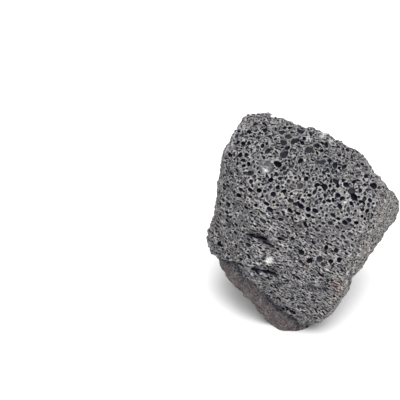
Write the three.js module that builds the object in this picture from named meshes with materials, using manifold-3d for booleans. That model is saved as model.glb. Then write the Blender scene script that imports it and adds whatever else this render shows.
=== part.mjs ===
// One loose piece of vesicular lava, a little over the size of a fist.
// It is a single natural solid: broken faces that meet in blunt edges, a stepped heel where the lava
// split along its flow bands, a fine-grained flank on the right with a knob at its top, and a rough
// surface all over. Millimetres, +Z up. The stone stands on a flat patch of its underside, the origin
// is on the ground under its middle, and the broad blistered front looks along -Y.

import * as THREE from "three";
import { ImprovedNoise } from "three/addons/math/ImprovedNoise.js";
import { mergeVertices } from "three/addons/utils/BufferGeometryUtils.js";
import Module from "manifold-3d";

// Driving dimensions, in millimetres. Angles are in degrees: azimuth 0 points out of the front (-Y)
// and 90 out of the right side (+X), and elevation is above the horizon.

// The heart is the point that all faces are measured from, this far above the ground.
const HEART_HEIGHT = 49;

// How sharply two faces meet: a higher power leaves a sharper edge.
const BLUNTNESS = 20;

// How often each edge of the starting icosahedron is divided.
const SURFACE_DIVISIONS = 17;

// The broken faces: the way each one looks, and how far its plane lies from the heart of the stone.
const FACES = [
  { name: "front", azimuth: 2, elevation: 27, reach: 49 },
  { name: "front foot", azimuth: -6, elevation: -15, reach: 48 },
  { name: "brow", azimuth: -4, elevation: 58, reach: 62 },
  { name: "top", azimuth: 75, elevation: 79, reach: 61 },
  { name: "crown", azimuth: 166, elevation: 58, reach: 72 },
  { name: "right brow", azimuth: 142, elevation: 54, reach: 64 },
  { name: "right shoulder", azimuth: 119, elevation: 40, reach: 61.5 },
  { name: "right cheek", azimuth: 104, elevation: 24, reach: 55 },
  { name: "right flank", azimuth: 60, elevation: -4, reach: 49 },
  { name: "right heel", azimuth: 74, elevation: -25, reach: 38 },
  { name: "right foot", azimuth: 57, elevation: -44, reach: 51 },
  { name: "left cheek", azimuth: -95, elevation: 8, reach: 59 },
  { name: "left shoulder", azimuth: -108, elevation: 28, reach: 73 },
  { name: "left heel", azimuth: -66, elevation: -36, reach: 54 },
  { name: "left front", azimuth: -52, elevation: 12, reach: 57 },
  { name: "back", azimuth: 176, elevation: 8, reach: 51 },
  { name: "back right", azimuth: 130, elevation: -14, reach: 50 },
  { name: "back left", azimuth: -140, elevation: -4, reach: 56 },
  { name: "back foot", azimuth: 172, elevation: -40, reach: 56 },
];

// Blunt swellings (height above 0) and dents (below 0) on those faces, and how wide each one spreads.
const SWELLINGS = [
  { name: "knob", azimuth: 99, elevation: 25, spread: 13, height: 6.5 },
  { name: "notch above the knob", azimuth: 111, elevation: 41, spread: 7, height: -3.5 },
  { name: "notch in the crown", azimuth: 150, elevation: 55, spread: 6, height: -3.5 },
  { name: "corner at the back left", azimuth: -135, elevation: 46, spread: 12, height: 3 },
  { name: "left notch", azimuth: -87, elevation: 14, spread: 7, height: -2.5 },
  { name: "left bump", azimuth: -76, elevation: -14, spread: 10, height: 2.5 },
  { name: "left heel bump", azimuth: -82, elevation: -24, spread: 9, height: 2.5 },
  { name: "right waist", azimuth: 71, elevation: -31, spread: 6, height: -3.5 },
  { name: "upper split in the front", azimuth: -34, elevation: 19, spread: 8, height: -2.5 },
  { name: "lower split in the front", azimuth: -26, elevation: 0, spread: 7, height: -2 },
  { name: "hollow in the back", azimuth: 168, elevation: 18, spread: 17, height: -4 },
  { name: "rib down the back", azimuth: -150, elevation: -10, spread: 12, height: 3 },
];

// Steps along the flow bands: past the band's plane the surface sits lower by its drop.
const BANDS = [
  { name: "heel step", azimuth: -50, elevation: -46, reach: 41, drop: 3, blend: 3 },
];

// Roughness, coarse to fine: the height of the bumps and how far apart they are.
const ROUGHNESS = [
  { height: 2, spacing: 31 },
  { height: 1.5, spacing: 15 },
  { height: 0.9, spacing: 7 },
];

// How far the edge of a step wanders from its plane, as a share of the roughness there.
const BAND_WANDER = 1.5;

// Corners closer together than this are one corner.
const SAME_PLACE = 1e-5;

const noise = new ImprovedNoise();

function direction(azimuth, elevation) {
  const turn = THREE.MathUtils.degToRad(azimuth);
  const rise = THREE.MathUtils.degToRad(elevation);
  return new THREE.Vector3(
    Math.sin(turn) * Math.cos(rise),
    -Math.cos(turn) * Math.cos(rise),
    Math.sin(rise),
  );
}

function withDirection(feature) {
  return { ...feature, way: direction(feature.azimuth, feature.elevation) };
}

const faces = FACES.map(withDirection);
const swellings = SWELLINGS.map(withDirection);
const bands = BANDS.map(withDirection);

// The planes of all faces, joined by a soft minimum that leaves their edges blunt.
function facesRadius(way) {
  let sum = 0;
  for (const face of faces) {
    const towards = Math.max(0, face.way.dot(way));
    sum += (towards / face.reach) ** BLUNTNESS;
  }
  return sum ** (-1 / BLUNTNESS);
}

function swellingHeight(way) {
  let height = 0;
  for (const swelling of swellings) {
    const angle = THREE.MathUtils.radToDeg(swelling.way.angleTo(way));
    height += swelling.height * Math.exp(-((angle / swelling.spread) ** 2));
  }
  return height;
}

function roughnessAt(point) {
  let height = 0;
  for (const { height: size, spacing } of ROUGHNESS) {
    height += size * noise.noise(point.x / spacing, point.y / spacing, point.z / spacing);
  }
  return height;
}

function bandDrop(point) {
  let drop = 0;
  for (const band of bands) {
    const past = band.way.dot(point) - band.reach + roughnessAt(point) * BAND_WANDER;
    drop += band.drop * THREE.MathUtils.smoothstep(past, -band.blend / 2, band.blend / 2);
  }
  return drop;
}

// The surface point that lies from the heart in the given direction, as measured from the heart.
function surfacePoint(way) {
  const broad = way.clone().multiplyScalar(facesRadius(way) + swellingHeight(way));
  const radius = broad.length() - bandDrop(broad) + roughnessAt(broad);
  return way.clone().multiplyScalar(radius);
}

function roughStone() {
  const ball = new THREE.IcosahedronGeometry(1, SURFACE_DIVISIONS);
  ball.deleteAttribute("normal");
  ball.deleteAttribute("uv");
  const stone = mergeVertices(ball, SAME_PLACE);
  const places = stone.attributes.position;
  const way = new THREE.Vector3();
  for (let i = 0; i < places.count; i++) {
    way.fromBufferAttribute(places, i).normalize();
    const point = surfacePoint(way);
    places.setXYZ(i, point.x, point.y, point.z + HEART_HEIGHT);
  }
  return stone;
}

function solidFrom(wasm, geometry) {
  return new wasm.Manifold(
    new wasm.Mesh({
      numProp: 3,
      vertProperties: new Float32Array(geometry.attributes.position.array),
      triVerts: new Uint32Array(geometry.index.array),
    }),
  );
}

function geometryFrom(solid) {
  const mesh = solid.getMesh();
  const geometry = new THREE.BufferGeometry();
  geometry.setAttribute("position", new THREE.BufferAttribute(mesh.vertProperties, 3));
  geometry.setIndex(new THREE.BufferAttribute(mesh.triVerts, 1));
  return geometry;
}

// A block under the ground, which trims the underside to the flat patch that the stone stands on.
function groundBlock() {
  const side = 6 * HEART_HEIGHT;
  const block = new THREE.BoxGeometry(side, side, side);
  block.deleteAttribute("normal");
  block.deleteAttribute("uv");
  return mergeVertices(block.translate(0, 0, -side / 2), SAME_PLACE);
}

async function lavaRock() {
  const wasm = await Module();
  wasm.setup();
  const stone = solidFrom(wasm, roughStone()).subtract(solidFrom(wasm, groundBlock()));
  const geometry = geometryFrom(stone);
  geometry.computeBoundingBox();
  const middle = geometry.boundingBox.getCenter(new THREE.Vector3());
  geometry.translate(-middle.x, -middle.y, 0);
  geometry.computeVertexNormals();
  const basalt = new THREE.MeshStandardMaterial({ color: 0x6b6866, roughness: 0.95, metalness: 0 });
  const mesh = new THREE.Mesh(geometry, basalt);
  mesh.name = "lava_rock";
  return mesh;
}

const rock = new THREE.Group();
rock.add(await lavaRock());

export default rock;
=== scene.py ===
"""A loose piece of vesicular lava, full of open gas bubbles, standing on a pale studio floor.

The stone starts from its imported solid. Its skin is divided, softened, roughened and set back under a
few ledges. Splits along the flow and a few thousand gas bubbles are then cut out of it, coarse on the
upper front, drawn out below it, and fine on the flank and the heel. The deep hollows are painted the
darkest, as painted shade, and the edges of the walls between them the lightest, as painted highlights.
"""

import itertools
import math
import random
from collections import namedtuple

import bmesh
import bpy
from bpy.props import FloatProperty, FloatVectorProperty, IntProperty, PointerProperty
from mathutils import Matrix, Vector, noise
from mathutils.bvhtree import BVHTree


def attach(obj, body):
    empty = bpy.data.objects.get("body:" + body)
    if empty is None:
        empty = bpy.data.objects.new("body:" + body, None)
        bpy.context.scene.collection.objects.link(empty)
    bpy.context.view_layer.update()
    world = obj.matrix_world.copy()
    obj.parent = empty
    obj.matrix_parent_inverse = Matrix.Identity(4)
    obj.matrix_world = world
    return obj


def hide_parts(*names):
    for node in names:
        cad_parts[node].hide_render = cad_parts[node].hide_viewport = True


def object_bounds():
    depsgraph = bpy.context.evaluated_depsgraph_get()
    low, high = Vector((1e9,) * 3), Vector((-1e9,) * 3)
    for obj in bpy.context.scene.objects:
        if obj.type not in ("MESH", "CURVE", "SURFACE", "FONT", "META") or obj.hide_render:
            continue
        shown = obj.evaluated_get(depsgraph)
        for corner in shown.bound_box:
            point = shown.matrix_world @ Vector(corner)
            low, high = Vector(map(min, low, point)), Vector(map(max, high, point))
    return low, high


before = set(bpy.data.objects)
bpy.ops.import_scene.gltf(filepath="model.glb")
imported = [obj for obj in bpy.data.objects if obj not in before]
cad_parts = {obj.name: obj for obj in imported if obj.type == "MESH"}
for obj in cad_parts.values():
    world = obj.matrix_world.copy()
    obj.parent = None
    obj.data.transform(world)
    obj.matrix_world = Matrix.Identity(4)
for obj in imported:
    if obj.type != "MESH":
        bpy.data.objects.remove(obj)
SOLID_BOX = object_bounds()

bl_info = {
    "name": "Lava Rock",
    "version": (1, 0, 0),
    "blender": (4, 5, 0),
    "location": "3D View > Sidebar > Lava Rock",
    "description": "Cuts a solid stone full of gas bubbles and gives it the finish of vesicular lava",
    "category": "Add Mesh",
}

MM = 0.001
# How far the floor reaches from the stone, in metres.
FLOOR_REACH = 4
NODE = "lava_rock"
STONE = "lava_rock_stone"

# The skin is thinned to so many triangles before the bubbles are cut, and the cut stone to so many.
SKIN_TRIANGLES = 36000
MOST_TRIANGLES = 196000

# What the finish follows from corner to corner.
ATTRIBUTES = ("depth", "hollow", "ridge", "flank", "heel", "drawn", "dark", "crust", "oxide")

# The heart is the point inside the stone that directions are measured from.
HEART = Vector((0, 0, 0.42 * (SOLID_BOX[1][2] - SOLID_BOX[0][2])))


def direction(azimuth, elevation):
    """Azimuth 0 points out of the front (-Y) and 90 out of the right side (+X), in degrees."""
    turn = math.radians(azimuth)
    rise = math.radians(elevation)
    return Vector(
        (
            math.sin(turn) * math.cos(rise),
            -math.cos(turn) * math.cos(rise),
            math.sin(rise),
        )
    )


# Bubbles on the front are placed on a plan that lies square to this direction, through the heart.
PLAN_OUT = direction(0, 30)
PLAN_ACROSS = Vector((1, 0, 0))
PLAN_UP = PLAN_OUT.cross(PLAN_ACROSS)

# The faces of the stone by the way they look: the size of their bubbles (1 is the coarse front), how
# many of the bubbles that would fit are there, how long the flow drew them out, how broken the skin
# is, how much painted shade makes it darker and bluer, and how much the finish is that of the flank or the
# heel.
Zone = namedtuple("Zone", "azimuth elevation size share drawn broken dark flank heel")
ZONES = (
    Zone(2, 42, 1.02, 1.0, 1.0, 1.1, 0, 0, 0),
    Zone(-4, 64, 0.96, 1.0, 1.0, 1.9, 0.75, 0, 0),
    Zone(-4, 15, 0.66, 0.9, 1.6, 1.3, 0.1, 0, 0),
    Zone(-6, -22, 0.62, 0.75, 1.7, 1.2, 0.15, 0, 0),
    Zone(-52, 12, 0.84, 1.0, 1.2, 1.5, 0.9, 0, 0),
    Zone(-95, 8, 0.75, 0.5, 1.0, 1.0, 0.8, 0, 0),
    Zone(-108, 30, 0.85, 0.4, 1.0, 1.0, 0.5, 0, 0),
    Zone(-62, -42, 0.5, 0.2, 1.4, 0.7, 0, 0, 1),
    Zone(-95, -40, 0.65, 0.25, 1.2, 0.6, 0.3, 0, 0.5),
    Zone(58, -4, 0.62, 0.5, 1.0, 0.6, 0, 1, 0),
    Zone(74, -28, 0.6, 0.4, 1.0, 0.7, 0.3, 1, 0),
    Zone(57, -48, 0.6, 0.3, 1.0, 0.5, 0.5, 0.7, 0),
    Zone(100, 18, 0.68, 0.9, 1.0, 0.6, 0.2, 0.8, 0),
    Zone(122, 42, 0.85, 0.5, 1.0, 0.9, 0.4, 0.2, 0),
    Zone(150, 56, 0.98, 0.4, 1.0, 1.1, 0.5, 0, 0),
    Zone(60, 80, 0.95, 0.8, 1.0, 1.5, 1.0, 0, 0),
    Zone(-150, 60, 0.98, 0.4, 1.0, 1.1, 0.6, 0, 0),
    Zone(176, 10, 1.05, 0.3, 1.0, 1.0, 0.3, 0, 0),
    Zone(130, -10, 0.8, 0.3, 1.2, 0.8, 0.3, 0.3, 0),
    Zone(-140, -4, 0.95, 0.3, 1.0, 1.0, 0.4, 0, 0),
    Zone(172, -42, 0.75, 0.2, 1.3, 0.7, 0.4, 0, 0.3),
    Zone(0, -90, 0.5, 0.05, 1.0, 0.3, 0, 0, 0.5),
)
# How sharply one zone gives way to the next, and how much of a zone is settled by the way that the
# face looks and not by where on the stone it is.
ZONE_EDGE = 26
ZONE_FACING = 0.65
# How many times the solid is smoothed before the way that its faces look is read.
ZONE_SMOOTHING = 12
# What looks less towards the front than this isn't on its plan.
FRONT_LIMIT = -0.15
# A ray towards the plan starts this far out, in metres.
RAY_START = 0.3
# How far below its lip the heel begins and is wholly there, in millimetres, and the shares by which
# bubbles are fewer and smaller on it.
HEEL_BLEND = (-1, 3)
HEEL_FEWER = 0.8
HEEL_SMALLER = 0.3

# The way that the lava flowed, down to the right across the front.
FLOW = Vector((0.88, -0.1, -0.46)).normalized()

# Radii of the gas bubbles, as shares of the usual one, and how many places each is tried in.
BUBBLE_SIZES = (
    (2.1, 40),
    (1.75, 260),
    (1.45, 900),
    (1.2, 6000),
    (1.0, 20000),
    (0.82, 26000),
    (0.68, 26000),
)
# The share of the bubbles that run into their neighbours, and how far.
MERGED_SHARE = 0.05
MERGED_DEPTH = 0.4
# How far a bubble's mouth differs from the usual one of its size, and how deep its middle lies under
# the mouth, as a share of its radius.
MOUTH_SPREAD = (0.88, 1.12)
SINKS = (-0.4, 0.62)
# How dark the floor of a bubble is painted, as shade, at sink 0, how much darker it is painted per unit
# of sink, and how far it differs by chance.
USUAL_FLOOR_SHADE = 0.72
FLOOR_SHADE_BY_SINK = 0.8
FLOOR_SHADE_SPREAD = 0.3
# No bubble opens lower over the ground than this, in millimetres, so the flat patch stays whole.
LOWEST_BUBBLE = 1.5
# The radii in millimetres past which a bubble's ball is divided once more.
FINER_PAST = (1.3, 2.8)
# Uneven corners reach a little beyond the ball, so a cutter's reach has this margin.
REACH_MARGIN = 1.05
# Bubbles less drawn out than this point any way and not along the flow.
DRAWN_LIMIT = 1.1
# The largest mouth of a bubble and the largest reach of a cutter, in millimetres.
LARGEST_MOUTH = 4
LARGEST_REACH = 8
# The least gap between two cutters of one set, in millimetres.
SET_GAP = 0.02

# The dishes that cover the skin, each what is left of a bubble that broke open: how far apart they
# are and how deep, in millimetres.
DISHES = ((5.2, 1.3), (2.7, 0.6))

# The waves of the broken skin: how far apart their crests are and how deep they are, in millimetres.
SKIN_WAVES = ((11, 3.6), (5.5, 1.9))
# What is taken off the waves and the dishes so that the stone keeps its size.
WAVE_MIDDLE = 0.12
DISH_MIDDLE = 0.7
# How far apart the bumps of the broken grain are, and the height up to which the skin stays flat for
# the stone to stand on, in millimetres.
GRAIN_SPACING = 2.6
STANDING_HEIGHT = 0.3

# Bubbles that stand out on the front: across and up on the plan, the radius of the mouth, all in
# millimetres, and how deep the middle lies under the mouth, as a share of the radius.
Bubble = namedtuple("Bubble", "across up mouth sink")
LARGE_BUBBLES = (
    Bubble(-22.5, 38, 4.0, -0.5),
    Bubble(9, 44, 3.5, 0.0),
    Bubble(-13, 46, 3.3, -0.1),
    Bubble(-2.5, 27.5, 2.4, -0.2),
    Bubble(3, 27.5, 1.5, -0.3),
    Bubble(11.5, 26.8, 2.1, 0.5),
    Bubble(12, 28.6, 1.7, 0.4),
    Bubble(7.5, 28.5, 1.7, 0.4),
    Bubble(28, 23.5, 2.1, 0.5),
    Bubble(27, 25.8, 2.4, -0.2),
    Bubble(24, 29.5, 1.9, 0.3),
    Bubble(28, 31.5, 1.5, 0.5),
    Bubble(18, 32, 1.8, 0.3),
    Bubble(19, 28.5, 1.4, 0.5),
    Bubble(17, 41, 1.9, 0.1),
    Bubble(22.5, 40.5, 1.9, 0.2),
    Bubble(-3, 42.5, 1.7, 0.3),
    Bubble(4, 43.5, 1.4, 0.4),
    Bubble(9, 50, 1.4, 0.4),
    Bubble(-11, 50, 1.8, 0.3),
    Bubble(-17, 49.5, 1.7, 0.5),
    Bubble(-4, 63, 2.6, 0.2),
    Bubble(-13.5, 64, 1.6, 0.4),
    Bubble(-15, 60.5, 2.3, 0),
    Bubble(-11, 58, 2.2, 0),
    Bubble(-7, 54.5, 2.9, -0.2),
    Bubble(-13.5, 53.5, 2.3, 0),
    Bubble(-1.5, 57, 1.6, 0.4),
    Bubble(6, 53.5, 2.1, 0.2),
    Bubble(12, 54, 1.8, 0.2),
    Bubble(2.5, 49.5, 3.0, -0.3),
    Bubble(-22.5, 47, 2.0, 0),
    Bubble(-18.5, 58.5, 1.3, 0.5),
    Bubble(-25.5, 61.5, 1.7, 0.4),
    Bubble(-31.5, 65, 1.9, 0.2),
    Bubble(-26, 65.5, 1.5, 0.5),
    Bubble(-21, 65.5, 1.9, 0.3),
    Bubble(-37, 51, 1.4, 0.4),
    Bubble(-34.5, 58.5, 1.4, 0.5),
    Bubble(-40.5, 59, 1.4, 0.3),
    Bubble(-31, 33.5, 2.1, 0.1),
    Bubble(-38, 44, 1.6, 0.4),
    Bubble(-34, 44.5, 1.5, 0.5),
    Bubble(-33, 38.5, 1.6, 0.5),
    Bubble(-19.5, 29.3, 1.6, 0.6),
    Bubble(-30.5, 28.5, 1.4, 0.2),
    Bubble(0.5, -10.5, 2.0, 0.2),
    Bubble(6, -15, 1.8, 0.4),
    Bubble(11, -13.5, 2.1, 0.1),
    Bubble(17.5, -14.5, 1.8, 0.3),
    Bubble(22, -13.5, 1.5, 0.4),
    Bubble(20.5, -7.5, 1.4, 0.5),
    Bubble(14.5, -7, 1.6, 0.5),
)

# Ledges along the flow: the points of the lip from left to right on the plan, how far back the stone
# under the lip lies, how far below the lip it has come out again, all in millimetres, how dark the
# painted shade under the lip is, and whether the ledge is upright.
Ledge = namedtuple("Ledge", "lip drop below dark upright", defaults=(False,))
HEEL_LIP = (
    (-60, -15),
    (-54, -17),
    (-47.5, -18.5),
    (-37.7, -18.8),
    (-35.2, -22.8),
    (-32.7, -26.9),
    (-27.4, -30.2),
    (-21.3, -35.4),
    (-13.9, -42.8),
    (-3.3, -50.4),
    (5.5, -56.8),
)
HEEL_LEDGE = Ledge(HEEL_LIP, 2.2, 10, 0.5)
# An upright ledge sets back what lies right of it, and its points run from top to bottom.
FLANK_LIP = (
    (48.5, 34),
    (46.5, 27.5),
    (42.3, 20.3),
    (38.7, 13.2),
    (34.3, 1.6),
    (31.4, -7.2),
    (29.6, -14.1),
    (28.5, -22.9),
    (28.3, -31),
)
LEDGES = (
    HEEL_LEDGE,
    Ledge(FLANK_LIP, 2.0, 9, 0.3, True),
    Ledge(((-34, -0.5), (-26, -1.5), (-21, -3.5), (-14, -8)), 2.6, 7, 0.6),
    Ledge(((-30, -21), (-23, -21.5), (-18, -22), (-9, -24.5)), 2.4, 5, 0.55),
    Ledge(((-42, 17), (-32, 14), (-22, 9)), 1.5, 7, 0.2),
    Ledge(((2, -29), (12, -31), (22, -30)), 1.8, 6, 0.4),
    Ledge(((-12, 8), (0, 5), (10, 1)), 1.2, 6, 0.2),
)
# How wide the lip of a ledge is, over what length a ledge runs out at its ends, how far its lip
# wanders, and how far apart the turns of the lip are.
LIP_WIDTH = 1.8
LEDGE_END = 5
LIP_WANDER = 1.6
LIP_TURNS = 4.5
# How far the painted shade under a lip reaches, as a share of the ledge's drop, and how soft its upper
# edge is, in millimetres.
SHADE_WIDTH = 1.9
SHADE_EDGE = 0.6

# Splits along the flow, each a row of flattened bubbles that have run together: across and up on the
# plan, half the length, half the gap and the depth, in millimetres, and how far the split slopes down
# to the right, in degrees.
Split = namedtuple("Split", "across up length gap depth slope")
SPLITS = (
    Split(-26, -3, 6, 1.0, 4.0, 12),
    Split(-19, -6.5, 4, 1.0, 4.0, 32),
    Split(-23, -22.5, 5, 1.0, 4.0, 8),
    Split(-15, -24, 4, 0.9, 3.5, 15),
    Split(-33, -20, 4, 0.8, 3.0, 12),
    Split(-24, -24.5, 4, 0.9, 3.0, 42),
    Split(-12, -37.5, 4, 0.8, 3.0, 60),
    Split(-4, -46.5, 4, 0.8, 3.0, 38),
)
SPLIT_BUBBLES = 5
# How far a split runs up as it goes in, how dark its painted shade is, and the share of the reach of its
# bubbles that their mouths take.
SPLIT_RISE = 0.45
SPLIT_SHADE = 0.95
SPLIT_MOUTH = 0.4

# Painted light from above: how much lighter a hollow is painted where it looks straight up.
PAINTED_LIGHT_FROM_ABOVE = 0.4
# The depths under the old skin, in millimetres, between which a bubble's floor is painted darker as
# shade, and the angles between two faces, in degrees, from which their edge is a ridge that carries a
# painted highlight, and from which it wholly is one.
FLOOR_DEPTHS = (0.05, 0.6)
RIDGE_ANGLES = (20, 70)

# Coloured spots on the front: across and up on the plan, the radius in millimetres, and how much of the
# spot is white mineral crust or pink oxide.
Spot = namedtuple("Spot", "across up radius crust oxide")
SPOTS = (
    Spot(-22.5, 37.5, 5.0, 0.35, 0),
    Spot(-22.8, 35.6, 2.2, 1.5, 0),
    Spot(-17.5, -16, 2.8, 2.4, 0),
    # The next three spots, near the top, stand for painted highlights on the top, drawn in the crust's
    # white.
    Spot(9.5, 60.5, 3.5, 0.75, 0),
    Spot(14, 57.5, 2.5, 0.7, 0),
    Spot(1, 57, 2.5, 0.5, 0),
    Spot(24, 19.7, 2.5, 0.6, 0),
    Spot(-22, 9, 3.0, 0.5, 0),
    Spot(22, -28, 4.5, 0, 0.9),
    Spot(8, -44, 3.0, 0, 0.4),
)


class StoneSettings(bpy.types.PropertyGroup):
    """Sizes of the stone's surface."""

    seed: IntProperty(
        name="Seed", description="Another seed places the small bubbles elsewhere", default=7
    )
    usual_radius: FloatProperty(
        name="Usual bubble",
        description="Radius of a common gas bubble on the coarse front",
        default=1.08 * MM,
        unit="LENGTH",
    )
    wall: FloatProperty(
        name="Wall",
        description="Least stone left between the mouths of two bubbles",
        default=0.19 * MM,
        unit="LENGTH",
    )
    roughness: FloatProperty(
        name="Roughness",
        description="Height of the broken grain on the skin between the bubbles",
        default=0.5 * MM,
        unit="LENGTH",
    )
    sharp_angle: FloatProperty(
        name="Sharp edge",
        description="Faces that meet at more than this angle share a sharp edge",
        default=math.radians(50),
        subtype="ANGLE",
    )


class FinishSettings(bpy.types.PropertyGroup):
    """Colours of the lava, with its painted shade and painted highlights."""

    stone: FloatVectorProperty(
        name="Stone",
        description="The warm grey of the walls",
        subtype="COLOR",
        size=3,
        default=(0.074, 0.062, 0.057),
    )
    shade: FloatVectorProperty(
        name="Shade",
        description="The cool grey of the patches between them",
        subtype="COLOR",
        size=3,
        default=(0.028, 0.033, 0.044),
    )
    # Painted shade: this darker, bluer colour stands for shade on the top and the left.
    dark: FloatVectorProperty(
        name="Dark lava",
        description="The bluish, darker lava of the top and the left",
        subtype="COLOR",
        size=3,
        default=(0.01, 0.012, 0.018),
    )
    # Painted highlight: the colour of the lit ridges and rings, also used for the light grains and specks.
    highlight_and_grain: FloatVectorProperty(
        name="Rims",
        description="The worn, lightest edges",
        subtype="COLOR",
        size=3,
        default=(0.44, 0.425, 0.42),
    )
    # Painted shade in the floors of the shallow bubbles.
    floor: FloatVectorProperty(
        name="Open bubbles",
        description="The bluish floor of the shallow bubbles",
        subtype="COLOR",
        size=3,
        default=(0.026, 0.03, 0.042),
    )
    # Painted shade in the floors of the deep bubbles, in the pores and under the lips of the ledges.
    hollow: FloatVectorProperty(
        name="Hollows",
        description="The floor of the deep bubbles",
        subtype="COLOR",
        size=3,
        default=(0.003, 0.005, 0.015),
    )
    flank: FloatVectorProperty(
        name="Flank",
        description="The fine-grained tan flank",
        subtype="COLOR",
        size=3,
        default=(0.078, 0.064, 0.055),
    )
    heel: FloatVectorProperty(
        name="Heel",
        description="The fine-grained, rusty heel",
        subtype="COLOR",
        size=3,
        default=(0.082, 0.061, 0.063),
    )
    crust: FloatVectorProperty(
        name="Crust",
        description="White mineral crust in a few hollows",
        subtype="COLOR",
        size=3,
        default=(0.78, 0.78, 0.76),
    )
    oxide: FloatVectorProperty(
        name="Oxide",
        description="Pink oxide on a few patches",
        subtype="COLOR",
        size=3,
        default=(0.36, 0.22, 0.175),
    )


class StageSettings(bpy.types.PropertyGroup):
    """The floor, the light and the camera."""

    floor: FloatVectorProperty(
        name="Floor", description="Colour of the floor", subtype="COLOR", size=3, default=(0.93, 0.93, 0.93)
    )
    lamp_power: FloatProperty(
        name="Lamp", description="Power of the large soft lamp over the stone", default=59.0, unit="POWER"
    )
    sky: FloatProperty(name="Sky", description="Strength of the light from all around", default=0.88)
    elevation: FloatProperty(
        name="Elevation",
        description="Height of the view above the horizon",
        default=math.radians(30),
        subtype="ANGLE",
    )
    frame_width: FloatProperty(
        name="View width", description="Width of the view at the stone", default=0.2512, unit="LENGTH"
    )
    lens: FloatProperty(name="Lens", description="Focal length in millimetres", default=85.0)
    aside: FloatVectorProperty(
        name="Off centre",
        description="How far the heart of the stone is right of and below the middle of the view",
        size=2,
        default=(0.0648, 0.0175),
        unit="LENGTH",
    )


def skin_point(tree, across, up):
    """The place on the front that lies over a place on the plan, and the way it faces."""
    start = HEART + (PLAN_ACROSS * across + PLAN_UP * up) * MM + PLAN_OUT * RAY_START
    place, facing, _, _ = tree.ray_cast(start, -PLAN_OUT)
    if place is None:
        raise RuntimeError(f"no stone under ({across}, {up}) mm on the plan of the front")
    return place, facing


def on_plan(place):
    """A place's coordinates across and up on the plan, in millimetres."""
    away = (place - HEART) / MM
    return away.dot(PLAN_ACROSS), away.dot(PLAN_UP)


def under_lip(ledge, across, up):
    """How far a place on the plan lies below a ledge's lip, and how far from the ledge's nearer end."""
    lip = ledge.lip
    if ledge.upright:
        lip = [(-y, -x) for x, y in lip]
        across, up = -up, -across
    inside = min(across - lip[0][0], lip[-1][0] - across)
    for (x0, y0), (x1, y1) in zip(lip, lip[1:]):
        if x0 <= across <= x1:
            rise = (y1 - y0) / (x1 - x0)
            height = y0 + rise * (across - x0)
            return (height - up) / math.hypot(1, rise), inside
    return -math.inf, inside


def ease(value, low, high):
    """A smooth step from 0 at low to 1 at high."""
    share = min(1, max(0, (value - low) / (high - low)))
    return share * share * (3 - 2 * share)


def ledge_drop(place):
    """How far back the stone lies under the ledges, in millimetres."""
    drop = 0
    across, up = on_plan(place)
    wander = LIP_WANDER * grain(place, LIP_TURNS * MM)
    for ledge in LEDGES:
        below, inside = under_lip(ledge, across + ledge.upright * wander, up + wander)
        if below > -LIP_WIDTH and inside > 0:
            edge = ease(below, -LIP_WIDTH / 2, LIP_WIDTH / 2) * ease(ledge.below - below, 0, ledge.below)
            drop += ledge.drop * edge * ease(inside, 0, LEDGE_END)
    return drop


def lip_shade(place):
    """Painted shade: 1 close under the lip of a ledge, 0 away from it."""
    shade = 0
    across, up = on_plan(place)
    wander = LIP_WANDER * grain(place, LIP_TURNS * MM)
    for ledge in LEDGES:
        below, inside = under_lip(ledge, across, up + wander)
        near = ease(below, -SHADE_EDGE, SHADE_EDGE) * ease(below, SHADE_WIDTH * ledge.drop, 0)
        shade = max(shade, ledge.dark * near * ease(inside, 0, LEDGE_END))
    return shade


def heel_share(place):
    """1 on the band below the ledge of the heel, 0 above it."""
    below, inside = under_lip(HEEL_LEDGE, *on_plan(place))
    if inside <= 0:
        return 0
    return ease(below, *HEEL_BLEND) * ease(inside, 0, LEDGE_END)


class ZoneMap:
    """Tells which zones a place on the stone belongs to."""

    def __init__(self, solid):
        bm = solid.copy()
        for _ in range(ZONE_SMOOTHING):
            smooth_corners(bm, bm.verts)
        bm.normal_update()
        self.tree = BVHTree.FromBMesh(bm)
        self.ways = [direction(zone.azimuth, zone.elevation) for zone in ZONES]
        bm.free()

    def at(self, place):
        facing = self.tree.find_nearest(place)[1]
        way = facing * ZONE_FACING + (place - HEART).normalized() * (1 - ZONE_FACING)
        way.normalize()
        weights = [math.exp(ZONE_EDGE * (zone_way.dot(way) - 1)) for zone_way in self.ways]
        total = sum(weights)
        blend = Zone(
            *(sum(w * z[i] for w, z in zip(weights, ZONES)) / total for i in range(len(Zone._fields)))
        )
        if facing.dot(PLAN_OUT) < FRONT_LIMIT:
            return blend
        heel = max(blend.heel, heel_share(place))
        return blend._replace(
            heel=heel,
            share=blend.share * (1 - HEEL_FEWER * heel),
            size=blend.size * (1 - HEEL_SMALLER * heel),
        )


def grain(place, spacing):
    """Noise from about -1 to 1 whose bumps are this far apart."""
    return noise.noise(place / spacing)


def smooth_corners(bm, corners):
    bmesh.ops.smooth_vert(bm, verts=corners, factor=0.5, use_axis_x=True, use_axis_y=True, use_axis_z=True)


def dish(place, spacing):
    """0 in the middle of each of the dishes that lie this far apart, about 1 on the crests between."""
    nearest = noise.voronoi(place / spacing)[0][0]
    return min(1, 2.2 * nearest * nearest)


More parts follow.
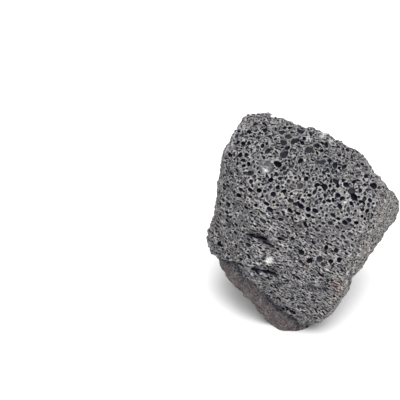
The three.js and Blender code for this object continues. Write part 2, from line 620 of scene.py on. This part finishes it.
def rough_skin(bm, zones, height):
    """Divides the solid's faces, rounds off their facets and breaks up the surface."""
    standing = STANDING_HEIGHT * MM
    for _ in range(2):
        bmesh.ops.subdivide_edges(bm, edges=bm.edges, cuts=1, use_grid_fill=True)
        bmesh.ops.triangulate(bm, faces=bm.faces)
        free = [v for v in bm.verts if v.co.z > standing]
        for _ in range(2):
            smooth_corners(bm, free)
    bm.normal_update()
    for v in free:
        broken = zones.at(v.co).broken
        rise = height * (grain(v.co, GRAIN_SPACING * MM) + 0.2)
        for spacing, depth in SKIN_WAVES:
            rise += broken * depth * MM * (WAVE_MIDDLE - abs(grain(v.co, spacing * MM)))
        for spacing, depth in DISHES:
            rise += min(1, broken) * depth * MM * (dish(v.co, spacing * MM) - DISH_MIDDLE)
        if v.normal.dot(PLAN_OUT) > FRONT_LIMIT:
            rise -= ledge_drop(v.co) * MM
        v.co += v.normal * rise
        v.co.z = max(v.co.z, standing)


class Cutter:
    """One hollow to be cut out: a ball with its own place, shape and fineness.

    How dark its floor is painted, as shade, goes from 0 for an open dish to 1 for a deep pocket.
    """

    def __init__(self, middle, reach, shape, fineness, unevenness, tone):
        self.tone = tone
        self.middle = middle
        self.reach = reach
        self.shape = shape
        self.fineness = fineness
        self.unevenness = unevenness


class Neighbours:
    """Finds what lies near a place, through cells of a fixed size."""

    def __init__(self, cell):
        self.cell = cell
        self.cells = {}

    def key(self, place):
        return tuple(math.floor(c / self.cell) for c in place)

    def add(self, place, item):
        self.cells.setdefault(self.key(place), []).append(item)

    def spread(self, place, reach, item):
        """Adds an item to every cell that it may reach into."""
        first = self.key(place - Vector((reach, reach, reach)))
        last = self.key(place + Vector((reach, reach, reach)))
        for key in itertools.product(*(range(a, b + 1) for a, b in zip(first, last))):
            self.cells.setdefault(key, []).append(item)

    def near(self, place, reach):
        x, y, z = self.key(place)
        span = range(-math.ceil(reach / self.cell), math.ceil(reach / self.cell) + 1)
        for i, j, k in itertools.product(span, repeat=3):
            yield from self.cells.get((x + i, y + j, z + k), ())


class Hollows:
    """Tells how much painted shade darkens the hollow that a place on the cut stone belongs to."""

    def __init__(self, cutters):
        self.near = Neighbours(2 * MM)
        for cutter in cutters:
            self.near.spread(cutter.middle, cutter.reach, (cutter.tone, cutter.shape.inverted()))

    def tone(self, place):
        # A floor that lies near no cutter's surface gets a middling painted shade.
        best = 0.4
        tone = 0.6
        for other, inverse in self.near.cells.get(self.near.key(place), ()):
            off = abs((inverse @ place).length - 1)
            if off < best:
                best = off
                tone = other
        return tone


def bubble_cutter(place, facing, mouth, sink, drawn, chance):
    """A bubble that opens in the skin with a mouth of this radius, drawn out along the flow."""
    radius = mouth / math.sqrt(1 - sink * sink)
    middle = place - facing * (radius * sink)
    along = FLOW - facing * FLOW.dot(facing)
    if drawn < DRAWN_LIMIT:
        along = Vector((chance.uniform(-1, 1), chance.uniform(-1, 1), chance.uniform(-1, 1)))
        along -= facing * along.dot(facing)
    along.normalize()
    side = facing.cross(along)
    turn = Matrix((along, side, facing)).transposed().to_4x4()
    stretch = drawn * chance.uniform(1.0, 1.25)
    size = Matrix.Diagonal((radius * stretch, radius / math.sqrt(stretch), radius, 1))
    shape = Matrix.Translation(middle) @ turn @ size
    fineness = 1 + sum(radius > limit * MM for limit in FINER_PAST)
    tone = USUAL_FLOOR_SHADE + FLOOR_SHADE_BY_SINK * sink + chance.uniform(-FLOOR_SHADE_SPREAD, FLOOR_SHADE_SPREAD)
    reach = radius * stretch * REACH_MARGIN
    return Cutter(middle, reach, shape, fineness, 0.05, min(1, max(0, tone)))


def split_cutters(tree, split, chance):
    """A thin, deep hollow along the flow, made by flattened bubbles side by side."""
    slope = math.radians(split.slope)
    run = Vector((math.cos(slope), -math.sin(slope)))
    cutters = []
    for i in range(SPLIT_BUBBLES):
        where = (2 * i / (SPLIT_BUBBLES - 1) - 1) * split.length * 0.8
        aside = split.gap * chance.uniform(-0.7, 0.7)
        across = split.across + run.x * where - run.y * aside
        up = split.up + run.y * where + run.x * aside
        place, facing = skin_point(tree, across, up)
        along = PLAN_ACROSS * run.x + PLAN_UP * run.y
        along = (along - facing * along.dot(facing)).normalized()
        # The hollow runs back and up, under the stone above it.
        inward = (PLAN_UP * SPLIT_RISE - facing).normalized()
        side = inward.cross(along).normalized()
        inward = along.cross(side)
        turn = Matrix((along, side, inward)).transposed().to_4x4()
        length = split.length * chance.uniform(0.28, 0.45) * MM
        depth = split.depth * chance.uniform(0.5, 1.0) * MM
        size = Matrix.Diagonal((length, split.gap * chance.uniform(0.5, 1.1) * MM, depth, 1))
        shape = Matrix.Translation(place) @ turn @ size
        cutters.append(Cutter(place, max(length, depth) * REACH_MARGIN, shape, 2, 0.12, SPLIT_SHADE))
    return cutters


def scatter_bubbles(tree, bm, zones, settings):
    """Places bubbles all over the skin, the large ones first, with a thin wall between their mouths."""
    chance = random.Random(settings.seed)
    cutters = [cutter for split in SPLITS for cutter in split_cutters(tree, split, chance)]
    mouths = Neighbours(LARGEST_MOUTH * MM)
    for cutter in cutters:
        mouths.add(cutter.middle, (cutter.middle, SPLIT_MOUTH * cutter.reach))
    for bubble in LARGE_BUBBLES:
        place, facing = skin_point(tree, bubble.across, bubble.up)
        mouth = bubble.mouth * MM
        cutters.append(bubble_cutter(place, facing, mouth, bubble.sink, 1.0, chance))
        cutters[-1].tone = ease(bubble.sink, -0.4, 0.5)
        mouths.add(place, (place, mouth))
    bm.faces.ensure_lookup_table()
    areas = [f.calc_area() for f in bm.faces]
    for share, tries in BUBBLE_SIZES:
        for face in chance.choices(bm.faces, areas, k=tries):
            a, b = sorted((chance.random(), chance.random()))
            corners = [v.co for v in face.verts]
            place = corners[0] * a + corners[1] * (b - a) + corners[2] * (1 - b)
            if place.z < LOWEST_BUBBLE * MM:
                continue
            zone = zones.at(place)
            if chance.random() > zone.share:
                continue
            mouth = settings.usual_radius * share * zone.size * chance.uniform(*MOUTH_SPREAD)
            wall = settings.wall
            if chance.random() < MERGED_SHARE:
                wall = -MERGED_DEPTH * mouth
            clear = all(
                (place - other).length > mouth + radius + wall
                for other, radius in mouths.near(place, mouth + LARGEST_MOUTH * MM)
            )
            if not clear:
                continue
            sink = chance.uniform(*SINKS)
            cutters.append(bubble_cutter(place, face.normal, mouth, sink, zone.drawn, chance))
            mouths.add(place, (place, mouth))
    return cutters, chance


def apart(cutters):
    """Sorts the cutters into sets in which no two touch."""
    sets = []
    near = Neighbours(5 * MM)
    for cutter in cutters:
        taken = {
            index
            for other, index in near.near(cutter.middle, cutter.reach + LARGEST_REACH * MM)
            if (other.middle - cutter.middle).length < other.reach + cutter.reach + SET_GAP * MM
        }
        index = next(i for i in range(len(sets) + 1) if i not in taken)
        if index == len(sets):
            sets.append([])
        sets[index].append(cutter)
        near.add(cutter.middle, (cutter, index))
    return sets


def ball(fineness):
    """The mesh of a ball of radius 1."""
    bm = bmesh.new()
    bmesh.ops.create_icosphere(bm, subdivisions=fineness, radius=1.0)
    mesh = bpy.data.meshes.new(f"ball_{fineness}")
    bm.to_mesh(mesh)
    bm.free()
    return mesh


def cutter_object(name, cutters, balls, chance):
    """One mesh with all cutters of a set."""
    whole = bmesh.new()
    for cutter in cutters:
        whole.from_mesh(balls[cutter.fineness])
    corners = iter(whole.verts)
    for cutter in cutters:
        for _ in balls[cutter.fineness].vertices:
            corner = next(corners)
            corner.co *= 1 + cutter.unevenness * chance.uniform(-1, 1)
            corner.co = cutter.shape @ corner.co
    mesh = bpy.data.meshes.new(name)
    whole.to_mesh(mesh)
    whole.free()
    tool = bpy.data.objects.new(name, mesh)
    bpy.context.scene.collection.objects.link(tool)
    return tool


def apply_modifiers(piece):
    bpy.context.view_layer.update()
    shown = piece.evaluated_get(bpy.context.evaluated_depsgraph_get())
    finished = bpy.data.meshes.new_from_object(shown)
    piece.modifiers.clear()
    piece.data = finished


def thin(piece, most):
    """Leaves at most so many triangles, and takes them out where the surface is flattest."""
    triangles = sum(len(p.vertices) - 2 for p in piece.data.polygons)
    if triangles > most:
        fewer = piece.modifiers.new("fewer", "DECIMATE")
        fewer.ratio = most / triangles
        apply_modifiers(piece)


def cut(stone, sets, chance):
    """Subtracts every set from the stone, one after the other."""
    balls = {fineness: ball(fineness) for fineness in (1, 2, 3)}
    tools = [cutter_object(f"bubbles_{i}", members, balls, chance) for i, members in enumerate(sets)]
    for tool in tools:
        step = stone.modifiers.new(tool.name, "BOOLEAN")
        step.operation = "DIFFERENCE"
        step.solver = "MANIFOLD"
        step.object = tool
    apply_modifiers(stone)
    for mesh in [tool.data for tool in tools] + list(balls.values()):
        bpy.data.meshes.remove(mesh)


def largest_piece(bm):
    """Drops the crumbs that the bubbles have cut free."""
    left = set(bm.faces)
    lumps = []
    while left:
        lump = {left.pop()}
        edge = list(lump)
        while edge:
            face = edge.pop()
            for side in face.edges:
                for other in side.link_faces:
                    if other in left:
                        left.remove(other)
                        lump.add(other)
                        edge.append(other)
        lumps.append(lump)
    lumps.sort(key=len)
    crumbs = [f for lump in lumps[:-1] for f in lump]
    bmesh.ops.delete(bm, geom=crumbs, context="FACES")


def record_finish(bm, tree, zones, hollows):
    """Stores what the finish follows: depth under the old skin, the painted shade of hollows, ridges for
    the painted highlights, zones and spots.
    """
    layers = {name: bm.verts.layers.float.new(name) for name in ATTRIBUTES}
    for v in bm.verts:
        below = tree.find_nearest(v.co)[3] / MM
        zone = zones.at(v.co)
        v[layers["depth"]] = below
        # Painted light from above: a hollow that looks up is painted lighter.
        painted_light_from_above = PAINTED_LIGHT_FROM_ABOVE * max(0, v.normal.z)
        v[layers["hollow"]] = hollows.tone(v.co) * ease(below, *FLOOR_DEPTHS) * (1 - painted_light_from_above)
        v[layers["flank"]] = zone.flank
        v[layers["heel"]] = zone.heel
        v[layers["drawn"]] = ease(zone.drawn, 1.0, 1.5)
        v[layers["dark"]] = zone.dark
        if v.normal.dot(PLAN_OUT) > FRONT_LIMIT:
            # Painted shade under the lips of the ledges.
            v[layers["hollow"]] = max(v[layers["hollow"]], lip_shade(v.co))
            across, up = on_plan(v.co)
            for spot in SPOTS:
                away = math.hypot(across - spot.across, up - spot.up)
                near = ease(away, spot.radius, 0.2 * spot.radius)
                v[layers["crust"]] = max(v[layers["crust"]], near * spot.crust)
                v[layers["oxide"]] = max(v[layers["oxide"]], near * spot.oxide)
    # The ridges carry the painted highlights.
    for e in bm.edges:
        if len(e.link_faces) == 2:
            ridge = ease(math.degrees(e.calc_face_angle_signed()), *RIDGE_ANGLES)
            for v in e.verts:
                v[layers["ridge"]] = max(v[layers["ridge"]], ridge)


def sharpen(bm, angle):
    """Shades the stone smooth, except over its broken edges."""
    for f in bm.faces:
        f.smooth = True
    for e in bm.edges:
        e.smooth = len(e.link_faces) == 2 and e.calc_face_angle() < angle


def stone_mesh(settings):
    """The whole stone, cut and ready for its finish."""
    bm = bmesh.new()
    bm.from_mesh(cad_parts[NODE].data)
    for layer in list(bm.loops.layers.uv):
        bm.loops.layers.uv.remove(layer)
    bmesh.ops.remove_doubles(bm, verts=bm.verts, dist=1e-6)
    zones = ZoneMap(bm)
    rough_skin(bm, zones, settings.roughness)
    mesh = bpy.data.meshes.new(STONE)
    bm.to_mesh(mesh)
    stone = bpy.data.objects.new(STONE, mesh)
    bpy.context.scene.collection.objects.link(stone)
    thin(stone, SKIN_TRIANGLES)

    bm.clear()
    bm.from_mesh(stone.data)
    bm.normal_update()
    skin = BVHTree.FromBMesh(bm)
    cutters, chance = scatter_bubbles(skin, bm, zones, settings)
    cut(stone, apart(cutters), chance)
    thin(stone, MOST_TRIANGLES)

    bm.clear()
    bm.from_mesh(stone.data)
    largest_piece(bm)
    bmesh.ops.triangulate(bm, faces=bm.faces)
    bm.normal_update()
    record_finish(bm, skin, zones, Hollows(cutters))
    sharpen(bm, settings.sharp_angle)
    bm.to_mesh(stone.data)
    bm.free()
    return stone


class Value:
    """A number that varies over a surface. Sums on it add Math nodes."""

    def __init__(self, finish, socket):
        self.finish = finish
        self.socket = socket

    def math(self, operation, *others):
        return self.finish.math(operation, self, *others)

    def __add__(self, other):
        return self.math("ADD", other)

    __radd__ = __add__

    def __sub__(self, other):
        return self.math("SUBTRACT", other)

    def __rsub__(self, other):
        return self.finish.math("SUBTRACT", other, self)

    def __mul__(self, other):
        return self.math("MULTIPLY", other)

    __rmul__ = __mul__


class Finish:
    """A material under construction."""

    def __init__(self, name):
        self.material = bpy.data.materials.new(name)
        self.material.use_nodes = True
        self.tree = self.material.node_tree
        self.tree.nodes.clear()

    def node(self, kind, settings=None, **sockets):
        """A node with its settings, and the values or links of its sockets by name or by number."""
        made = self.tree.nodes.new(kind)
        for name, value in (settings or {}).items():
            setattr(made, name, value)
        for name, value in sockets.items():
            label = int(name[1:]) if name.startswith("_") else name.replace("_", " ")
            self.feed(made.inputs[label], value)
        return made

    def feed(self, socket, value):
        if isinstance(value, Value):
            value = value.socket
        if isinstance(value, bpy.types.NodeSocket):
            self.tree.links.new(value, socket)
        elif socket.type == "RGBA":
            socket.default_value = (*value, 1)
        else:
            socket.default_value = value

    def math(self, operation, *values):
        sockets = {f"_{i}": value for i, value in enumerate(values)}
        return Value(self, self.node("ShaderNodeMath", {"operation": operation}, **sockets).outputs[0])

    def between(self, value, low, high):
        """A smooth step from 0 at low to 1 at high; low may be above high."""
        if low > high:
            return 1 - self.between(value, high, low)
        settings = {"interpolation_type": "SMOOTHSTEP"}
        made = self.node("ShaderNodeMapRange", settings, Value=value, From_Min=low, From_Max=high)
        return Value(self, made.outputs[0])

    def mix(self, share, first, second, blend="MIX"):
        """A colour, from first at share 0 to second at share 1."""
        settings = {"data_type": "RGBA", "blend_type": blend, "clamp_factor": True}
        return self.node("ShaderNodeMix", settings, _0=share, _6=first, _7=second).outputs[2]

    def attribute(self, name):
        return Value(self, self.node("ShaderNodeAttribute", {"attribute_name": name}).outputs["Fac"])

    def noise(self, place, scale, detail, roughness=0.55):
        made = self.node(
            "ShaderNodeTexNoise", None, Vector=place, Scale=scale, Detail=detail, Roughness=roughness
        )
        return Value(self, made.outputs["Fac"])

    def vector(self, operation, *values, output="Vector", **sockets):
        numbered = {f"_{i}": value for i, value in enumerate(values)}
        made = self.node("ShaderNodeVectorMath", {"operation": operation}, **numbered, **sockets)
        return made.outputs[output]

    def pits(self, place, scale, share, radius):
        """Small round holes, 1 in the middle of each, and the rings round them."""
        cells = self.node("ShaderNodeTexVoronoi", {"feature": "F1"}, Vector=place, Scale=scale)
        kept = self.node("ShaderNodeSeparateColor", None, Color=cells.outputs["Color"])
        open_here = self.math("LESS_THAN", Value(self, kept.outputs[0]), share)
        distance = Value(self, cells.outputs["Distance"])
        hole = self.between(distance, radius, radius * 0.75) * open_here
        ring = self.between(distance, radius * 1.45, radius * 1.1) * open_here
        return hole, ring - hole


def lava_finish(colours):
    """Grey lava: thin walls with painted highlights, hollows painted blue-black as shade, fine pores, a tan
    flank and a rusty heel.
    """
    lava = Finish("vesicular_basalt")
    co = lava.node("ShaderNodeTexCoord").outputs["Object"]
    place = lava.vector("SCALE", co, Scale=1 / MM)
    # Places squeezed along the flow, on which a pattern comes out drawn along it.
    along = Value(lava, lava.vector("DOT_PRODUCT", place, FLOW, output="Value"))
    drawn_place = lava.vector("ADD", place, lava.vector("SCALE", FLOW, Scale=along * -0.6))

    depth = lava.attribute("depth")
    hollow = lava.attribute("hollow")
    ridge = lava.attribute("ridge")
    flank = lava.attribute("flank")
    heel = lava.attribute("heel")
    drawn = lava.attribute("drawn")
    dark = lava.attribute("dark")
    crust = lava.attribute("crust")
    oxide = lava.attribute("oxide")

    broad = lava.noise(place, 0.07, 3.0)
    patch = lava.noise(drawn_place, 0.5, 3.0, 0.6)
    speck = lava.noise(drawn_place, 1.7, 3.0, 0.7)
    specks = lava.between(lava.noise(place, 2.4, 1.0), 0.6, 0.72) * heel

    # Pores too small to cut, fainter on the flank and the heel.
    coarse_pits, coarse_rings = lava.pits(place, 0.62, 0.5 + dark * 0.3, 0.42)
    drawn_pits, drawn_rings = lava.pits(drawn_place, 0.8, 0.8, 0.42)
    fine_pits, fine_rings = lava.pits(place, 1.25, 0.55, 0.42)
    rough = 1 - lava.math("MAXIMUM", flank * 0.15, heel * 0.7)
    pits = lava.math("MAXIMUM", coarse_pits * (1 - drawn), drawn_pits * drawn) * rough
    rings = lava.math("MAXIMUM", coarse_rings * (1 - drawn), drawn_rings * drawn) * rough
    skin = lava.between(depth, 0.45, 0.05)
    pores = lava.math("MAXIMUM", pits, fine_pits * (0.5 + flank * 0.4)) * skin

    warm = tuple(colours.stone)
    cool = tuple(colours.shade)
    highlight_and_grain = tuple(colours.highlight_and_grain)
    hollow_shade_colour = tuple(colours.hollow)
    colour = lava.mix(lava.between(broad + patch * 0.4, 0.5, 0.85), warm, cool)
    colour = lava.mix(flank * 0.9, colour, tuple(colours.flank))
    colour = lava.mix(heel * 0.9, colour, tuple(colours.heel))
    # Painted shade: the zones' dark share makes the colour darker and bluer.
    colour = lava.mix(dark * 0.7, colour, tuple(colours.dark))
    # Painted highlights on the ridges and on the rings round the pores, except deep in a hollow.
    light = lava.math("MAXIMUM", ridge * 0.9, rings * 0.6)
    light = light * lava.between(speck - drawn * 0.04, 0.25, 0.6) * (1 - heel * 0.7)
    light = light * (1 - dark * 0.15) * lava.between(depth, 1.2, 0.2)
    colour = lava.mix(light, colour, highlight_and_grain)
    # Dark and light grains; the light grains also stand in for painted highlights.
    dark_grains = lava.between(speck, 0.5, 0.2) * (0.3 + flank * 0.3)
    light_grains = lava.between(speck, 0.62, 0.74) * (1 - dark * 0.3) * 0.4
    colour = lava.mix(dark_grains, colour, tuple(c * 0.45 for c in cool))
    colour = lava.mix(light_grains, colour, highlight_and_grain)
    colour = lava.mix(specks * 0.6, colour, highlight_and_grain)
    colour = lava.mix(oxide * lava.between(patch, 0.35, 0.6), colour, tuple(colours.oxide))
    # Painted shade: the pores, the floors of the bubbles and the places under the lips are darkened.
    colour = lava.mix(pores, colour, hollow_shade_colour)
    colour = lava.mix(lava.between(hollow, 0, 0.5) * 0.8, colour, tuple(colours.floor))
    colour = lava.mix(lava.between(hollow, 0.3, 0.8), colour, hollow_shade_colour)
    broken_crust = crust * lava.between(patch * 0.4 + speck * 0.9, 0.5, 0.75)
    colour = lava.mix(broken_crust, colour, tuple(colours.crust))

    height = speck * 0.5 + patch * 0.8 - pits * 0.9 - fine_pits * 0.35 + rings * 0.2 + fine_rings * 0.1
    bump = lava.node("ShaderNodeBump", None, Strength=1.0, Distance=MM, Height=height)
    shader = lava.node(
        "ShaderNodeBsdfPrincipled",
        None,
        Base_Color=colour,
        Roughness=0.9,
        Specular_IOR_Level=0.2,
        Normal=bump.outputs["Normal"],
    )
    lava.node("ShaderNodeOutputMaterial", None, Surface=shader.outputs[0])
    return lava.material


def floor_finish(colour):
    paper = Finish("studio_floor")
    shader = paper.node("ShaderNodeBsdfPrincipled", None, Base_Color=tuple(colour), Roughness=0.9)
    paper.node("ShaderNodeOutputMaterial", None, Surface=shader.outputs[0])
    return paper.material


def add_lamp(name, away, distance, width, power):
    """A square soft lamp that points at the heart of the stone."""
    lamp = bpy.data.lights.new(name, "AREA")
    lamp.size = width
    lamp.energy = power
    lamp_object = bpy.data.objects.new(name, lamp)
    lamp_object.location = HEART + away * distance
    lamp_object.rotation_mode = "QUATERNION"
    lamp_object.rotation_quaternion = (-away).to_track_quat("-Z", "Y")
    bpy.context.scene.collection.objects.link(lamp_object)


def add_camera(settings):
    """The view of the front from a little above."""
    camera = bpy.data.cameras.new("view")
    camera.lens = settings.lens
    away = direction(0, math.degrees(settings.elevation))
    up = away.cross(PLAN_ACROSS)
    holder = bpy.data.objects.new("view", camera)
    holder.location = HEART + away * (settings.frame_width * settings.lens / camera.sensor_width)
    aim = HEART - PLAN_ACROSS * settings.aside[0] + up * settings.aside[1]
    holder.rotation_mode = "QUATERNION"
    holder.rotation_quaternion = (aim - holder.location).to_track_quat("-Z", "Y")
    bpy.context.scene.collection.objects.link(holder)
    bpy.context.scene.camera = holder


class LAVA_OT_stone(bpy.types.Operator):
    """Cut the bubbles into the stone and give it its finish"""

    bl_idname = "lava.stone"
    bl_label = "Lava stone"

    def execute(self, context):
        stone = stone_mesh(context.scene.lava_stone)
        stone.data.materials.clear()
        stone.data.materials.append(lava_finish(context.scene.lava_finish))
        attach(stone, "root")
        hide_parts(NODE)
        return {"FINISHED"}


class LAVA_OT_stage(bpy.types.Operator):
    """Add the pale floor, the soft light and the camera"""

    bl_idname = "lava.stage"
    bl_label = "Studio stage"

    def execute(self, context):
        settings = context.scene.lava_stage
        bm = bmesh.new()
        bmesh.ops.create_grid(bm, x_segments=1, y_segments=1, size=FLOOR_REACH)
        mesh = bpy.data.meshes.new("studio_floor")
        bm.to_mesh(mesh)
        bm.free()
        mesh.materials.append(floor_finish(settings.floor))
        floor = bpy.data.objects.new("studio_floor", mesh)
        context.scene.collection.objects.link(floor)
        away = direction(10, 60)
        add_lamp("key_lamp", away, distance=2.2, width=1.3, power=settings.lamp_power)
        world = bpy.data.worlds.new("studio")
        world.use_nodes = True
        sky = world.node_tree.nodes["Background"]
        sky.inputs["Color"].default_value = (1, 1, 1, 1)
        sky.inputs["Strength"].default_value = settings.sky
        context.scene.world = world
        context.scene.view_settings.view_transform = "Standard"
        add_camera(settings)
        return {"FINISHED"}


class LAVA_PT_panel(bpy.types.Panel):
    """Lists the operators and their settings"""

    bl_idname = "LAVA_PT_panel"
    bl_label = "Lava Rock"
    bl_space_type = "VIEW_3D"
    bl_region_type = "UI"
    bl_category = "Lava Rock"

    def draw(self, context):
        for group, operator in (
            (context.scene.lava_stone, LAVA_OT_stone),
            (context.scene.lava_finish, None),
            (context.scene.lava_stage, LAVA_OT_stage),
        ):
            box = self.layout.box()
            for name in group.bl_rna.properties.keys():
                if name not in ("rna_type", "name"):
                    box.prop(group, name)
            if operator:
                box.operator(operator.bl_idname)


CLASSES = (StoneSettings, FinishSettings, StageSettings, LAVA_OT_stone, LAVA_OT_stage, LAVA_PT_panel)


def register():
    for cls in CLASSES:
        bpy.utils.register_class(cls)
    bpy.types.Scene.lava_stone = PointerProperty(type=StoneSettings)
    bpy.types.Scene.lava_finish = PointerProperty(type=FinishSettings)
    bpy.types.Scene.lava_stage = PointerProperty(type=StageSettings)


def unregister():
    del bpy.types.Scene.lava_stage
    del bpy.types.Scene.lava_finish
    del bpy.types.Scene.lava_stone
    for cls in reversed(CLASSES):
        bpy.utils.unregister_class(cls)


def main():
    register()
    bpy.ops.lava.stone()
    bpy.ops.lava.stage()


if __name__ == "__main__":
    main()
